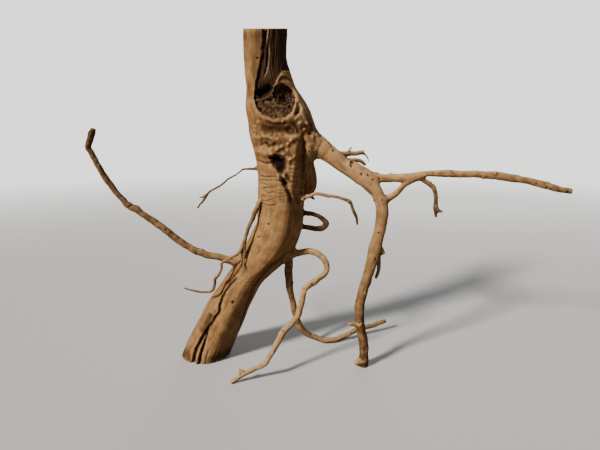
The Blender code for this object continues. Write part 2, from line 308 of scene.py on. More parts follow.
grow("shoulder_stub", [
    (0.033, -0.010, 0.382, 0.0090),
    (0.060, -0.004, 0.387, 0.0046),
    (0.074, -0.002, 0.388, 0.0044),
    (0.089, 0.000, 0.390, 0.0040),
], 0.006, knots=0.14)
grow("shoulder_spur", [
    (0.049, -0.012, 0.372, 0.0070),
    (0.071, -0.006, 0.376, 0.0040),
    (0.083, -0.004, 0.374, 0.0036),
    (0.092, -0.003, 0.367, 0.0027),
], 0.005, knots=0.14, old_and_shaded=(0.0, 0.5))
grow("stub_hair", [
    (0.085, 0.000, 0.390, 0.0022),
    (0.094, 0.000, 0.382, 0.0015),
    (0.098, 0.001, 0.372, 0.0011),
], 0.002)
grow("stub_spine", [
    (0.059, -0.005, 0.388, 0.0026),
    (0.063, -0.006, 0.395, 0.0018),
    (0.067, -0.006, 0.400, 0.0011),
], 0.002)
grow("shin_stub", [
    (0.083, -0.044, 0.083, 0.0042),
    (0.062, -0.047, 0.086, 0.0030),
], 0.006, knots=0.12)
grow("shin_knot", [
    (0.082, -0.046, 0.083, 0.0046),
    (0.081, -0.053, 0.089, 0.0042),
], 0.005, knots=0.12)
grow("knee_stub", [
    (0.110, -0.050, 0.222, 0.0050),
    (0.114, -0.042, 0.189, 0.0035),
    (0.110, -0.040, 0.169, 0.0027),
], 0.005)
grow("knee_spur", [
    (0.107, -0.050, 0.228, 0.0060),
    (0.116, -0.050, 0.223, 0.0050),
    (0.121, -0.050, 0.216, 0.0031),
], 0.005, knots=0.12)
grow("foot_nub", [
    (0.093, -0.039, 0.014, 0.0070),
    (0.076, -0.044, 0.007, 0.0048),
], 0.006, knots=0.12)
grow("prop_root", [
    (0.107, -0.039, 0.300, 0.0090),
    (0.125, -0.041, 0.311, 0.0065),
    (0.141, -0.042, 0.322, 0.0050),
    (0.154, -0.043, 0.336, 0.0042),
    (0.179, -0.048, 0.352, 0.0036),
], 0.006)

# ---- Right branch ------------------------------------------------------------------------
# A long thin branch runs out level to the right, and a short forked twig hangs from it.
grow("right_branch", [
    (0.065, -0.022, 0.362, 0.0110),
    (0.100, -0.026, 0.350, 0.0075),
    (0.130, -0.033, 0.345, 0.0062),
    (0.165, -0.044, 0.350, 0.0057),
    (0.193, -0.053, 0.356, 0.0056),
    (0.231, -0.066, 0.356, 0.0060),
    (0.281, -0.082, 0.355, 0.0060),
    (0.324, -0.096, 0.350, 0.0058),
    (0.358, -0.107, 0.341, 0.0055),
    (0.379, -0.114, 0.335, 0.0048),
    (0.395, -0.118, 0.333, 0.0042),
], 0.010, wander=0.24, knots=0.12, scars=0.40, old_and_shaded=(0.0, 0.60))
grow("hanging_twig", [
    (0.166, -0.044, 0.351, 0.0036),
    (0.185, -0.049, 0.343, 0.0042),
    (0.200, -0.054, 0.333, 0.0042),
    (0.205, -0.056, 0.320, 0.0041),
    (0.204, -0.057, 0.303, 0.0038),
    (0.206, -0.057, 0.282, 0.0021),
], 0.005, wander=0.3, knots=0.16, scars=0.40, old_and_shaded=(0.6, 1.4))
grow("hanging_twig_fork", [
    (0.204, -0.057, 0.301, 0.0034),
    (0.209, -0.057, 0.294, 0.0033),
    (0.216, -0.058, 0.292, 0.0024),
], 0.004, knots=0.12, old_and_shaded=(0.5, 0.6))

# ---- Left roots --------------------------------------------------------------------------
# A long dark root leaves the trunk low down and bends up. Two rootlets as thin as string leave
# higher up: one hangs free, the other creeps down the trunk's side and splits.
grow("left_root", [
    (-0.109, 0.008, 0.184, 0.0110),
    (-0.137, 0.005, 0.189, 0.0086),
    (-0.174, 0.000, 0.196, 0.0067),
    (-0.204, -0.002, 0.205, 0.0066),
    (-0.236, -0.006, 0.223, 0.0066),
    (-0.270, -0.010, 0.253, 0.0062),
    (-0.303, -0.013, 0.277, 0.0058),
    (-0.333, -0.016, 0.300, 0.0054),
    (-0.361, -0.019, 0.337, 0.0053),
    (-0.374, -0.021, 0.363, 0.0052),
    (-0.385, -0.022, 0.388, 0.0053),
    (-0.390, -0.023, 0.398, 0.0054),
    (-0.386, -0.024, 0.411, 0.0052),
    (-0.378, -0.025, 0.430, 0.0050),
], 0.010, wander=0.24, knots=0.13, scars=0.40, old_and_shaded=(0.35, 1.0))
grow("upper_left_rootlet", [
    (-0.087, 0.004, 0.364, 0.0040),
    (-0.114, 0.000, 0.360, 0.0022),
    (-0.127, -0.003, 0.359, 0.0021),
    (-0.138, -0.005, 0.351, 0.0020),
    (-0.152, -0.008, 0.343, 0.0020),
    (-0.167, -0.011, 0.331, 0.0020),
    (-0.186, -0.013, 0.319, 0.0020),
    (-0.196, -0.015, 0.307, 0.0023),
    (-0.202, -0.016, 0.300, 0.0018),
    (-0.208, -0.017, 0.291, 0.0015),
], 0.004, wander=0.5, knots=0.20, scars=0.4, old_and_shaded=(0.8, 0.9))
grow("rootlet_side_twig", [
    (-0.190, -0.014, 0.317, 0.0018),
    (-0.199, -0.015, 0.311, 0.0015),
    (-0.205, -0.016, 0.312, 0.0012),
], 0.002, old_and_shaded=(0.8, 0.8))
grow("clinging_rootlet", [
    (-0.092, -0.012, 0.312, 0.0045),
    (-0.098, -0.018, 0.299, 0.0038),
    (-0.107, -0.021, 0.280, 0.0036),
    (-0.118, -0.022, 0.253, 0.0033),
    (-0.127, -0.022, 0.228, 0.0032),
    (-0.133, -0.022, 0.216, 0.0032),
    (-0.144, -0.022, 0.205, 0.0029),
    (-0.158, -0.022, 0.197, 0.0028),
    (-0.168, -0.022, 0.190, 0.0034),
    (-0.168, -0.022, 0.180, 0.0025),
    (-0.173, -0.023, 0.171, 0.0025),
    (-0.180, -0.024, 0.164, 0.0027),
    (-0.182, -0.024, 0.152, 0.0023),
    (-0.185, -0.025, 0.142, 0.0026),
    (-0.194, -0.026, 0.138, 0.0020),
    (-0.214, -0.027, 0.140, 0.0020),
    (-0.225, -0.028, 0.143, 0.0018),
    (-0.236, -0.028, 0.147, 0.0015),
], 0.003, wander=0.5, knots=0.22, scars=0.5, old_and_shaded=(0.3, 0.5))
grow("clinging_strand", [
    (-0.122, -0.021, 0.241, 0.0026),
    (-0.124, -0.021, 0.218, 0.0022),
    (-0.127, -0.021, 0.196, 0.0020),
    (-0.126, -0.020, 0.178, 0.0019),
    (-0.121, -0.018, 0.166, 0.0017),
    (-0.117, -0.015, 0.154, 0.0012),
], 0.002, wander=0.4, knots=0.15, old_and_shaded=(0.3, 0.4))
grow("clinging_hair", [
    (-0.127, -0.022, 0.226, 0.0026),
    (-0.130, -0.018, 0.206, 0.0021),
    (-0.133, -0.012, 0.188, 0.0018),
    (-0.138, -0.008, 0.174, 0.0012),
], 0.002, wander=0.4, knots=0.15, old_and_shaded=(0.3, 0.4))

# ---- Right twig and back loop ------------------------------------------------------------
# A thin twig arches out of the trunk's right side. Behind it a stouter root turns back on
# itself and grows into the trunk again.
grow("right_twig", [
    (-0.038, -0.001, 0.305, 0.0050),
    (-0.025, -0.012, 0.309, 0.0037),
    (-0.011, -0.014, 0.312, 0.0030),
    (0.000, -0.014, 0.316, 0.0028),
    (0.020, -0.016, 0.315, 0.0027),
    (0.039, -0.018, 0.313, 0.0027),
    (0.053, -0.021, 0.309, 0.0028),
    (0.060, -0.022, 0.306, 0.0035),
    (0.064, -0.023, 0.302, 0.0026),
    (0.067, -0.024, 0.293, 0.0025),
    (0.073, -0.025, 0.278, 0.0027),
    (0.077, -0.026, 0.263, 0.0018),
], 0.004, wander=0.4, knots=0.18, scars=0.4, pale_and_lit=(0.9, 0.0), old_and_shaded=(0.0, 1.6))
# The knob is painted pale: painted light on it.
grow("twig_knob", [
    (-0.022, -0.010, 0.308, 0.0050),
    (-0.018, -0.018, 0.309, 0.0040),
], 0.003, knots=0.15, pale_and_lit=(0.9, 0.9))
grow("twig_nub", [
    (-0.008, -0.012, 0.313, 0.0030),
    (0.001, -0.009, 0.307, 0.0024),
], 0.003, knots=0.15, old_and_shaded=(0.9, 0.9))
# The back loop is painted dark all along: painted shadow of the trunk, which stands between it and
# the light.
grow("back_loop", [
    (-0.042, 0.012, 0.280, 0.0050),
    (-0.001, 0.015, 0.275, 0.0040),
    (0.015, 0.017, 0.268, 0.0045),
    (0.024, 0.019, 0.257, 0.0056),
    (0.015, 0.022, 0.247, 0.0055),
    (-0.006, 0.024, 0.248, 0.0049),
    (-0.041, 0.027, 0.254, 0.0050),
], 0.006, wander=0.22, knots=0.12, old_and_shaded=(1.4, 1.4))

# ---- Front and back roots ----------------------------------------------------------------
# Two roots leave the trunk's underside together. The pale front one snakes forward to a small
# split tip on the floor, and the other runs back along the floor.
grow("front_root", [
    (-0.057, 0.008, 0.196, 0.0100),
    (-0.025, 0.010, 0.203, 0.0064),
    (0.003, 0.006, 0.204, 0.0058),
    (0.022, -0.001, 0.189, 0.0057),
    (0.023, -0.008, 0.171, 0.0056),
    (0.004, -0.016, 0.157, 0.0056),
    (-0.016, -0.025, 0.144, 0.0055),
    (-0.023, -0.038, 0.118, 0.0054),
    (-0.029, -0.047, 0.100, 0.0053),
    (-0.051, -0.060, 0.079, 0.0051),
    (-0.061, -0.067, 0.067, 0.0051),
    (-0.080, -0.083, 0.038, 0.0049),
    (-0.091, -0.089, 0.028, 0.0048),
    (-0.120, -0.095, 0.015, 0.0047),
    (-0.144, -0.101, 0.002, 0.0040),
], 0.010, wander=0.24, knots=0.13, scars=0.42, pale_and_lit=(0.25, 0.8))
grow("front_root_upper_nub", [
    (-0.121, -0.096, 0.014, 0.0045),
    (-0.128, -0.096, 0.021, 0.0031),
    (-0.131, -0.096, 0.023, 0.0021),
], 0.003, knots=0.12, pale_and_lit=(1.0, 1.0))
grow("back_root", [
    (-0.059, 0.012, 0.212, 0.0120),
    (-0.046, 0.024, 0.181, 0.0085),
    (-0.047, 0.031, 0.153, 0.0083),
    (-0.041, 0.039, 0.106, 0.0066),
    (-0.033, 0.045, 0.066, 0.0062),
    (-0.021, 0.050, 0.034, 0.0060),
    (0.008, 0.055, 0.012, 0.0058),
    (0.043, 0.059, 0.005, 0.0056),
    (0.071, 0.072, 0.010, 0.0053),
    (0.098, 0.088, 0.017, 0.0052),
    (0.135, 0.106, 0.018, 0.0049),
    (0.162, 0.118, 0.023, 0.0044),
], 0.010, wander=0.24, knots=0.12, scars=0.40, pale_and_lit=(0.0, 0.5), old_and_shaded=(0.5, 0.1))

# ---- One skin ----------------------------------------------------------------------------
# The limbs grew into each other. Their tubes are fused, and the skin is then drawn to where
# the wood of all limbs melts together, with a flare at each fork.
SAW_FACE = 0.0012
CULL = 0.020


def from_points(mesh):
    points = np.empty(len(mesh.vertices) * 3)
    mesh.vertices.foreach_get("co", points)
    return points.reshape(-1, 3)


def fused(mesh, grain_size):
    """One closed skin round everything in the mesh, in faces of about the size given."""
    block = bpy.data.objects.new("block", mesh)
    bpy.context.scene.collection.objects.link(block)
    fuse = block.modifiers.new("fuse", "REMESH")
    fuse.mode = "VOXEL"
    fuse.voxel_size = grain_size
    return plain_mesh(block)


def measure(limb, points):
    """Where points lie by a limb: its row and turn, how far off its skin, and straight out."""
    row = np.empty(len(points), int)
    last = len(limb.path) - 1
    coarse = limb.path[::6]
    squares = (coarse**2).sum(1)
    for first in range(0, len(points), 20000):
        some = points[first : first + 20000]
        row[first : first + 20000] = 6 * (squares - 2 * some @ coarse.T).argmin(1)
    nearby = np.clip(row[None, :] + np.arange(-5, 6)[:, None], 0, last)
    apart = np.array([((points - limb.path[rows]) ** 2).sum(1) for rows in nearby])
    row = nearby[apart.argmin(0), np.arange(len(points))]
    off = points - limb.path[row]
    run = (off * limb.heading[row]).sum(1)
    past = ((row == 0) & (run < 0)) | ((row == last) & (run > 0))
    run = np.clip(run, -PATH_STEP, PATH_STEP) * ~past
    off = off - limb.heading[row] * run[:, None]
    apart = np.linalg.norm(off, axis=1) + 1e-9
    across = (off * limb.side[row]).sum(1)
    forward = (off * limb.front[row]).sum(1)
    turn = (np.arctan2(across, forward) / (2 * math.pi)) % 1 * SPOKES
    spoke = turn.astype(int)
    share = turn - spoke
    spoke = spoke % SPOKES
    place = np.clip(row + run / PATH_STEP, 0, last - 0.001)
    low = place.astype(int)
    up = place - low
    after = (spoke + 1) % SPOKES
    skin = (limb.skin[low, spoke] * (1 - share) + limb.skin[low, after] * share) * (1 - up)
    skin += (limb.skin[low + 1, spoke] * (1 - share) + limb.skin[low + 1, after] * share) * up
    twist = limb.twist * place * PATH_STEP
    waver = 0.012 * np.sin(across / 0.011 + limb.mark) + 0.010 * np.sin(forward / 0.007)
    grain = np.column_stack([
        across * np.cos(twist) - forward * np.sin(twist),
        across * np.sin(twist) + forward * np.cos(twist),
        place * PATH_STEP + waver + limb.mark,
    ])
    return SimpleNamespace(gap=apart - skin, outward=off / apart[:, None], past=past,
                           grain=grain, share=place / last)


def wood_at(points):
    """The joined wood at points: how far off its skin, straight out, and the limb they're on."""
    gap = np.full(len(points), 1.0)
    outward = np.zeros((len(points), 3))
    past = np.zeros(len(points), bool)
    owner = np.zeros(len(points), int)
    grain = np.zeros((len(points), 3))
    share = np.zeros(len(points))
    closest = np.full(len(points), 1.0)
    second = np.full(len(points), 1.0)
    for number, limb in enumerate(limbs.values()):
        room = limb.radius.max() + CULL
        near = ((points > limb.path.min(0) - room) & (points < limb.path.max(0) + room)).all(1)
        near = np.flatnonzero(near)
        by = measure(limb, points[near])
        blend = np.clip(0.5 + 0.5 * (gap[near] - by.gap) / limb.flare, 0, 1)
        joined = gap[near] * (1 - blend) + by.gap * blend - limb.flare * blend * (1 - blend)
        gap[near] = np.where(gap[near] > 0.5, by.gap, joined)
        blend = blend[:, None]
        outward[near] = outward[near] * (1 - blend) + by.outward * blend
        nearer = by.gap < closest[near]
        second[near] = np.where(nearer, closest[near], np.minimum(second[near], by.gap))
        mine = near[nearer]
        closest[mine] = by.gap[nearer]
        owner[mine] = number
        grain[mine] = by.grain[nearer]
        share[mine] = by.share[nearer]
        past[mine] = by.past[nearer]
    outward /= np.linalg.norm(outward, axis=1)[:, None] + 1e-9
    return SimpleNamespace(gap=gap, outward=outward, past=past, owner=owner, grain=grain,
                           share=share, border=second - closest)


def top_height(points):
    return (points - np.array(TOP_CUT)) @ np.array(TOP_UP)


def on_saw_face(points, gap):
    flat = (np.abs(top_height(points)) < SAW_FACE) | (points[:, 2] < SAW_FACE)
    return flat & (gap < -SAW_FACE)


def keep_flat(points):
    """Wood that was moved past a saw cut goes back to it."""
    points[:, 2] = np.maximum(points[:, 2], 0)
    over = np.maximum(top_height(points), 0)
    return points - over[:, None] * np.array(TOP_UP)


timber = bmesh.new()
for limb in limbs.values():
    timber.from_mesh(limb.mesh)
block_mesh = bpy.data.meshes.new("block")
timber.to_mesh(block_mesh)
timber.free()
rough = fused(block_mesh, 0.0012)
points = from_points(rough)
for _ in range(3):
    wood = wood_at(points)
    step = np.clip(wood.gap, -0.006, 0.006)
    step[wood.past | on_saw_face(points, wood.gap)] = 0
    points = keep_flat(points - wood.outward * step[:, None])

# ---- Old knot and bare heartwood ---------------------------------------------------------
# Above the shoulder the outer wood has broken away from the dark heartwood, and a rotten knot
# sits in a hollow with a healed lip. Each mark is a line or outline of x and z on the front.
HEARTWOOD = [
    (-0.086, 0.604), (-0.038, 0.604), (-0.036, 0.560), (-0.037, 0.538), (-0.045, 0.527),
    (-0.055, 0.524), (-0.062, 0.512), (-0.069, 0.499), (-0.074, 0.488), (-0.083, 0.481),
    (-0.094, 0.478), (-0.102, 0.477),
    (-0.100, 0.497), (-0.097, 0.512), (-0.092, 0.532), (-0.087, 0.556), (-0.086, 0.574),
]
ROTTEN_KNOT = [
    (-0.101, 0.476), (-0.098, 0.466), (-0.089, 0.455), (-0.075, 0.449), (-0.062, 0.447),
    (-0.049, 0.449), (-0.041, 0.455), (-0.035, 0.466), (-0.033, 0.480), (-0.037, 0.492),
    (-0.046, 0.500), (-0.057, 0.503), (-0.068, 0.498), (-0.074, 0.487), (-0.083, 0.480),
    (-0.093, 0.477),
]
SPLIT_EDGE = [(-0.086, 0.604), (-0.085, 0.571), (-0.088, 0.553), (-0.092, 0.534),
              (-0.097, 0.515), (-0.101, 0.499), (-0.102, 0.481)]
CAVITY = [(-0.097, 0.483), (-0.090, 0.487), (-0.081, 0.492), (-0.073, 0.501)]
LIP = [(-0.103, 0.482), (-0.101, 0.466), (-0.091, 0.452), (-0.075, 0.445), (-0.062, 0.443),
       (-0.048, 0.445), (-0.038, 0.451)]
RIGHT_LIP = [(-0.038, 0.452), (-0.031, 0.466), (-0.029, 0.481), (-0.034, 0.494),
             (-0.043, 0.503), (-0.055, 0.506), (-0.062, 0.501)]
HEALED_ARC = [(-0.064, 0.503), (-0.059, 0.514), (-0.050, 0.518), (-0.041, 0.514)]
KNOT_HEART = (-0.053, 0.484)
KNOT_HOLE = [(-0.054, 0.482), (-0.049, 0.474)]
BOWL = 0.0175
# A band of painted shade on the stem beside the split edge.
STEM_SHADE = [(-0.094, 0.604), (-0.095, 0.560), (-0.099, 0.530), (-0.103, 0.505)]


def drawn(points):
    """The points' x and z on the front, with a small drift, so that no mark looks ruled."""
    flat = points[:, [0, 2]]
    near = np.flatnonzero((points[:, 0] < 0.03) & (points[:, 1] < 0.02))
    flat[near] += np.array([0.0010 * noise.noise_vector(p / 0.0065).xz
                            + 0.0005 * noise.noise_vector(p / 0.0024).xz for p in points[near]])
    return flat


def stroke(flat, line, width):
    """How strongly a drawn line marks each place: 1 on it, fading out at its sides and ends."""
    path = smooth_line(line, 0.0012)
    room = 2.6 * width
    low, high = path.min(0) - room, path.max(0) + room
    near = np.flatnonzero(((flat > low) & (flat < high)).all(1))
    apart = ((flat[near, None, :] - path[None, :, :]) ** 2).sum(2)
    share = apart.argmin(1) / (len(path) - 1)
    mark = np.zeros(len(flat))
    taper = np.clip(0.25 + 5 * np.minimum(share, 1 - share), 0, 1)
    mark[near] = taper * np.exp(-apart.min(1) / width**2)
    return mark


def inside(flat, outline, soft):
    """1 inside a drawn outline and 0 outside, with an edge as soft as given."""
    ring = smooth_line([*outline, outline[0]], 0.0012)
    near = np.flatnonzero(((flat > ring.min(0) - soft) & (flat < ring.max(0) + soft)).all(1))
    x, z = flat[near].T
    apart = np.full(len(near), 1.0)
    within = np.zeros(len(near), bool)
    for (x0, z0), (x1, z1) in zip(ring, ring[1:]):
        apart = np.minimum(apart, np.hypot(x - x0, z - z0))
        crosses = (z0 > z) != (z1 > z)
        within ^= crosses & (x < (x1 - x0) * (z - z0) / (z1 - z0 + 1e-12) + x0)
    mark = np.zeros(len(flat))
    mark[near] = np.clip(0.5 + np.where(within, apart, -apart) / (2 * soft), 0, 1)
    return mark


def spot(flat, centre, size):
    """1 at a place on the front, fading out over a size."""
    return np.exp(-((flat - centre) ** 2).sum(1) / size**2)


def facing(points, wood, wrap=0.0):
    """How much the trunk's skin faces the front, where its marks are. wrap reaches round it."""
    on_trunk = np.isin(wood.owner, (0, 1, 2, 3))
    return np.clip((wrap - wood.outward[:, 1]) / 0.35, 0, 1) * on_trunk * (points[:, 0] < 0.02)


def hollow_depth(flat):
    """How deep the front is broken away at the heartwood and the knot."""
    step_down = np.interp(flat[:, 0], (-0.10, -0.05), (0.0060, 0.0022))
    heart = inside(flat, HEARTWOOD, 0.0008)
    depth = heart * (step_down + 0.0034 * stroke(flat, SPLIT_EDGE, 0.0030))
    depth += 0.0140 * stroke(flat, CAVITY, 0.0085)
    bowl = inside(flat, ROTTEN_KNOT, 0.0012) * 0.0050 + inside(flat, ROTTEN_KNOT, 0.0080) * 0.0040
    depth = np.maximum(depth, bowl)
    depth += 0.0065 * spot(flat, KNOT_HEART, 0.0125) + 0.0045 * stroke(flat, KNOT_HOLE, 0.0045)
    rim = np.hypot(*(flat - KNOT_HEART).T) - BOWL
    depth -= 0.0026 * np.exp(-((rim / 0.0026) ** 2)) * inside(flat, ROTTEN_KNOT, 0.0020)
    depth -= 0.0036 * stroke(flat, LIP, 0.0042)
    depth -= 0.0032 * stroke(flat, RIGHT_LIP, 0.0040)
    return depth - 0.0026 * stroke(flat, HEALED_ARC, 0.0022)


# ---- Burl and waist ----------------------------------------------------------------------
# Under the knot the wood is folded and set with warts round a dark hollow and the crown of a
# broken stub. Below, a muscle of wood runs down between two grooves.
FOLDS = [
    ([(-0.112, 0.422), (-0.100, 0.415), (-0.086, 0.417), (-0.070, 0.413), (-0.052, 0.415)],
     0.0060, -0.0040),
    ([(-0.093, 0.403), (-0.083, 0.405), (-0.074, 0.401), (-0.062, 0.404)], 0.0032, 0.0042),
    ([(-0.108, 0.396), (-0.090, 0.390), (-0.076, 0.389), (-0.066, 0.392)], 0.0062, -0.0046),
    ([(-0.106, 0.381), (-0.094, 0.375), (-0.082, 0.372), (-0.069, 0.373)], 0.0019, 0.0030),
    ([(-0.092, 0.435), (-0.078, 0.429), (-0.060, 0.428), (-0.042, 0.424), (-0.028, 0.423)],
     0.0068, 0.0044),
    ([(-0.080, 0.440), (-0.064, 0.437), (-0.050, 0.438)], 0.0022, 0.0016),
    ([(-0.031, 0.475), (-0.028, 0.462), (-0.032, 0.451)], 0.0036, 0.0062),
    ([(-0.024, 0.466), (-0.017, 0.450), (-0.010, 0.434)], 0.0044, -0.0030),
    ([(-0.036, 0.440), (-0.030, 0.430), (-0.026, 0.420)], 0.0030, 0.0034),
    ([(-0.008, 0.447), (-0.006, 0.432), (-0.010, 0.416)], 0.0034, 0.0036),
    ([(-0.112, 0.419), (-0.116, 0.414)], 0.0034, 0.0036),
]
STUB_HOLE = [(-0.055, 0.345), (-0.050, 0.335)]
MUSCLE = [
    ([(-0.036, 0.414), (-0.033, 0.391), (-0.033, 0.368), (-0.036, 0.344), (-0.037, 0.310)],
     0.0068, -0.0044),
    ([(-0.052, 0.340), (-0.048, 0.330), (-0.043, 0.318), (-0.040, 0.303)], 0.0036, 0.0058),
    ([(-0.020, 0.425), (-0.019, 0.394), (-0.021, 0.369), (-0.019, 0.344), (-0.020, 0.305)],
     0.0050, 0.0085),
    ([(-0.062, 0.353), (-0.060, 0.344)], 0.0027, -0.0078),
    ([(-0.053, 0.356), (-0.050, 0.346)], 0.0027, -0.0078),
    (STUB_HOLE, 0.0036, 0.0090),
    ([(-0.050, 0.207), (-0.079, 0.182), (-0.105, 0.152), (-0.116, 0.128), (-0.127, 0.099),
      (-0.142, 0.053)], 0.0042, 0.0052),
]
HOLLOW = [(-0.076, 0.382), (-0.066, 0.385), (-0.054, 0.381), (-0.049, 0.373), (-0.052, 0.360),
          (-0.057, 0.355), (-0.063, 0.361), (-0.070, 0.371)]
WARTS = [
    (-0.024, 0.438, 0.0046, 0.0060), (-0.012, 0.438, 0.0038, 0.0046),
    (-0.017, 0.428, 0.0030, 0.0040), (-0.040, 0.410, 0.0036, 0.0052),
    (-0.045, 0.404, 0.0028, 0.0044), (-0.063, 0.396, 0.0040, 0.0050),
    (-0.056, 0.400, 0.0026, 0.0040), (-0.072, 0.386, 0.0036, 0.0040),
    (-0.041, 0.379, 0.0036, 0.0046), (-0.053, 0.440, 0.0024, 0.0026),
    (-0.047, 0.433, 0.0028, 0.0030), (-0.005, 0.441, 0.0032, 0.0036),
    (-0.031, 0.446, 0.0026, 0.0032), (-0.034, 0.384, 0.0030, 0.0026),
    (-0.095, 0.441, 0.0022, 0.0022), (-0.101, 0.434, 0.0024, 0.0026),
    (-0.088, 0.423, 0.0022, 0.0022), (-0.077, 0.433, 0.0020, 0.0022),
    (-0.104, 0.427, 0.0020, 0.0020), (-0.066, 0.421, 0.0022, 0.0020),
    (-0.052, 0.388, 0.0026, 0.0030), (-0.046, 0.394, 0.0024, 0.0026),
]


def fold_depth(flat):
    """How deep the folds, grooves and hollows are below the knot. Ridges are negative."""
    depth = 0.0110 * inside(flat, HOLLOW, 0.0040)
    for line, width, deep in FOLDS + MUSCLE:
        depth += deep * stroke(flat, line, width)
    for x, z, size, height in WARTS:
        depth -= height * spot(flat, (x, z), size)
    return depth


# ---- Split foot --------------------------------------------------------------------------
# The lower trunk is a slab and a round muscle that have split apart. The crack opens towards
# the sawn foot, where splinters stand in it.
CRACKS = [
    ([(-0.140, 0.163), (-0.158, 0.142), (-0.170, 0.121)], 0.0018, 0.0050),
    ([(-0.168, 0.126), (-0.172, 0.112), (-0.174, 0.100), (-0.184, 0.084), (-0.194, 0.068)],
     0.0026, 0.0080),
    ([(-0.190, 0.076), (-0.199, 0.060), (-0.210, 0.042), (-0.220, 0.022), (-0.227, -0.008)],
     0.0032, 0.0095),
    ([(-0.196, 0.064), (-0.201, 0.046), (-0.206, 0.030), (-0.211, 0.012), (-0.213, -0.006)],
     0.0024, 0.0075),
    ([(-0.127, 0.190), (-0.141, 0.172), (-0.152, 0.157), (-0.159, 0.146)], 0.0032, 0.0030),
    ([(-0.194, 0.030), (-0.199, 0.014), (-0.203, -0.004)], 0.0011, 0.0018),
]
SLAB_RECESS = [(-0.186, 0.096), (-0.198, 0.075), (-0.209, 0.052)]
SPLINTERS = [
    ([(-0.203, 0.052), (-0.211, 0.030), (-0.216, 0.010), (-0.219, -0.006)], 0.0020, -0.0036),
    ([(-0.198, 0.058), (-0.205, 0.043), (-0.208, 0.032)], 0.0010, -0.0030),
    ([(-0.186, 0.086), (-0.193, 0.070), (-0.199, 0.056)], 0.0010, -0.0030),
]
PITS = [(-0.081, 0.266, 0.0016), (-0.100, 0.240, 0.0014), (-0.096, 0.242, 0.0010),
        (-0.148, 0.119, 0.0026), (-0.095, 0.543, 0.0013)]


def crack_depth(flat):
    """How deep the lower trunk is split. Splinters are negative."""
    depth = 0.0058 * stroke(flat, SLAB_RECESS, 0.0090)
    for line, width, deep in CRACKS + SPLINTERS:
        depth += deep * stroke(flat, line, width)
    return depth


# ---- Back of the trunk -------------------------------------------------------------------
# The back dried too: a few long cracks run with the grain, and three lost branches have
# healed over into rings with a dark eye.
BACK_CRACKS = [
    ([(-0.094, 0.604), (-0.092, 0.560), (-0.086, 0.510), (-0.083, 0.465)], 0.0020, 0.0048),
    ([(-0.066, 0.392), (-0.073, 0.350), (-0.075, 0.305), (-0.070, 0.272)], 0.0016, 0.0034),
    ([(-0.122, 0.186), (-0.150, 0.138), (-0.178, 0.088), (-0.200, 0.040), (-0.214, -0.004)],
     0.0024, 0.0062),
    ([(-0.176, 0.066), (-0.186, 0.036), (-0.196, -0.004)], 0.0016, 0.0034),
]
BACK_KNOTS = [(-0.056, 0.436, 0.0105), (-0.088, 0.236, 0.0080), (-0.074, 0.545, 0.0060)]


def behind(points, wood):
    """How much the trunk's skin faces the back."""
    on_trunk = np.isin(wood.owner, (0, 1))
    return np.clip((wood.outward[:, 1] - 0.1) / 0.35, 0, 1) * on_trunk


def back_depth(flat):
    """How deep the marks on the back are. The knots' rings are negative."""
    depth = sum(deep * stroke(flat, line, width) for line, width, deep in BACK_CRACKS)
    for x, z, size in BACK_KNOTS:
        rim = np.hypot(flat[:, 0] - x, 0.8 * (flat[:, 1] - z)) - size
        depth -= 0.0034 * np.exp(-((rim / (0.38 * size)) ** 2))
        depth += 0.0060 * spot(flat, (x, z), 0.45 * size)
    return depth


wood = wood_at(points)
flat = drawn(points)
front = facing(points, wood)
points[:, 1] += front * (hollow_depth(flat) + fold_depth(flat) + crack_depth(flat))
points[:, 1] -= behind(points, wood) * back_depth(flat)
rough.vertices.foreach_set("co", keep_flat(points).ravel())
skin_mesh = fused(rough, 0.00105)

# ---- Fine relief -------------------------------------------------------------------------
# Drying drew the bare wood into wrinkles across the waist and fine furrows along the grain.
# The rotten knot crumbled, and splits opened in the heartwood.
WRINKLES = [
    ([(-0.097 + 0.009 * math.sin(5 * n), 0.3500 - 0.0068 * n + 0.0022 * math.sin(3.7 * n)),
      (-0.083 + 0.004 * math.sin(2 * n), 0.3480 - 0.0068 * n + 0.0017 * math.sin(7 * n)),
      (-0.065 + 0.006 * math.sin(4 * n), 0.3500 - 0.0068 * n + 0.0014 * math.sin(2.3 * n))],
     0.0014 + 0.0004 * math.sin(6 * n), 0.0010 + 0.0005 * math.sin(2 * n + 1))
    for n in range(8)
] + [
    ([(-0.045, 0.371), (-0.034, 0.370), (-0.027, 0.368)], 0.0011, 0.0007),
    ([(-0.043, 0.363), (-0.034, 0.362), (-0.028, 0.361)], 0.0011, 0.0009),
    ([(-0.046, 0.358), (-0.036, 0.356), (-0.027, 0.354)], 0.0010, 0.0006),
    ([(-0.042, 0.350), (-0.036, 0.349), (-0.029, 0.349)], 0.0012, 0.0010),
    ([(-0.043, 0.341), (-0.036, 0.340), (-0.028, 0.341)], 0.0011, 0.0007),
    ([(-0.129, 0.168), (-0.122, 0.164), (-0.114, 0.162)], 0.0010, 0.0005),
    ([(-0.133, 0.160), (-0.125, 0.156), (-0.116, 0.156)], 0.0010, 0.0006),
    ([(-0.136, 0.154), (-0.129, 0.151), (-0.122, 0.148)], 0.0010, 0.0004),
]
HEART_CRACKS = [
    ([(-0.083, 0.604), (-0.082, 0.587), (-0.082, 0.572), (-0.087, 0.556)], 0.0018, 0.0050),
    ([(-0.077, 0.566), (-0.079, 0.545), (-0.081, 0.528), (-0.085, 0.514)], 0.0013, 0.0030),
    ([(-0.065, 0.604), (-0.066, 0.570), (-0.068, 0.545), (-0.067, 0.525)], 0.0022, 0.0014),
    ([(-0.056, 0.604), (-0.057, 0.575), (-0.058, 0.550)], 0.0016, 0.0010),
]
